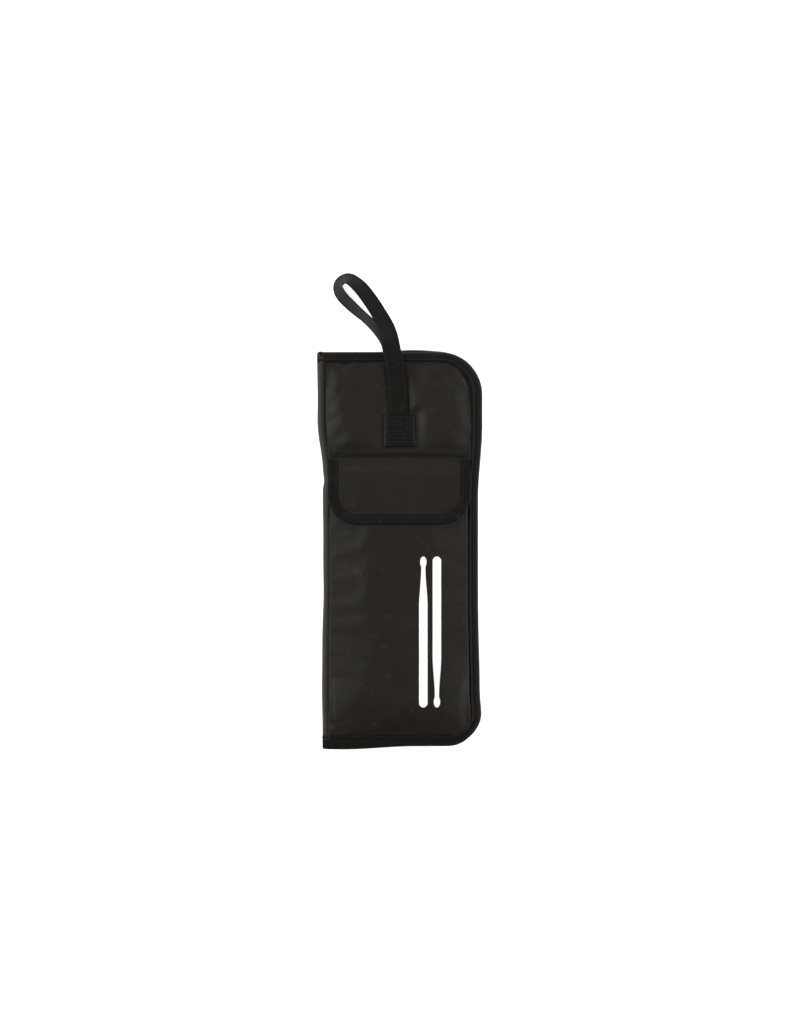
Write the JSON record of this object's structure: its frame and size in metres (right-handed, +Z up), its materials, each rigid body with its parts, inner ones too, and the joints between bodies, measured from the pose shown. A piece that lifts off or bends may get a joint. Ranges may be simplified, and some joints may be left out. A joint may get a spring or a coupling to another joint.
{
  "type": "drum stick bag",
  "caption": "Flat book-fold drum stick bag with a zipped edge, a flapped front pocket, inner stick sleeve and a webbing hanging loop.",
  "frame": {"origin": "on the resting plane under the middle of the whole object, hanging loop included; the bag lies closed on its back", "axes": "+Z up out of the bag's front, +Y along the bag towards the hanging loop, +X away from the spine"},
  "size_m": [0.184, 0.5451, 0.037],
  "materials": {
    "shell_fabric": "coated plain weave, soft sheen",
    "lining": "thin plain weave, matte",
    "foam": "closed-cell foam, matte",
    "binding_tape": "ribbed tape, matte",
    "zipper_tape": "herringbone tape, matte",
    "zipper_coil": "satin",
    "grip_tape": "hook-and-loop pile, matte",
    "webbing": "flat ribbed webbing, matte",
    "slider_metal": "satin black"
  },
  "bodies": {
    "back_half": {"back_outer_panel": "shell_fabric", "back_foam_pad": "foam", "back_lining": "lining", "back_zipper_tape": "zipper_tape", "back_zipper_coil": "zipper_coil", "back_piping": "binding_tape", "back_seam_binding": "binding_tape", "stick_sleeve": "lining", "sleeve_mouth_binding": "binding_tape"},
    "spine": {"spine_panel": "shell_fabric", "zip_end_tab_top": "binding_tape", "zip_end_tab_bottom": "binding_tape"},
    "front_half": {"front_outer_panel": "shell_fabric", "front_foam_pad": "foam", "front_lining": "lining", "front_zipper_tape": "zipper_tape", "front_zipper_coil": "zipper_coil", "front_piping": "binding_tape", "front_seam_binding": "binding_tape", "accessory_pocket": "shell_fabric", "pocket_mouth_binding": "binding_tape", "pocket_loop_strip": "grip_tape", "flap_seam_strip": "binding_tape", "strap_anchor_patch": "webbing"},
    "flap": {"pocket_flap": "shell_fabric", "flap_binding": "binding_tape", "flap_hook_strip": "grip_tape"},
    "loop": {"hanging_loop": "webbing"},
    "slider": {"zipper_slider": "slider_metal"},
    "pull": {"slider_pull": "slider_metal"}
  },
  "joints": [
    {"name": "spine_fold", "type": "hinge", "parent": "back_half", "child": "spine", "pos_m": [-0.0915, 0, 0.0005], "axis": [0, -1, 0], "range_deg": [0, 90]},
    {"name": "cover_fold", "type": "hinge", "parent": "spine", "child": "front_half", "pos_m": [-0.0915, 0, 0.0253], "axis": [0, -1, 0], "range_deg": [0, 90]},
    {"name": "flap_lift", "type": "hinge", "parent": "front_half", "child": "flap", "pos_m": [0, 0.0618, 0.0274], "axis": [-1, 0, 0], "range_deg": [0, 110]},
    {"name": "loop_swing", "type": "hinge", "parent": "front_half", "child": "loop", "pos_m": [-0.0015, 0.1125, 0.0277], "axis": [1, 0, 0], "range_deg": [0, 90]},
    {"name": "slider_travel", "type": "slide", "parent": "back_half", "child": "slider", "axis": [1, 0, 0], "range_m": [0, 0.125]},
    {"name": "pull_flip", "type": "hinge", "parent": "slider", "child": "pull", "pos_m": [-0.076, -0.2714, 0.0131], "axis": [0, 0, -1], "range_deg": [0, 180]}
  ]
}
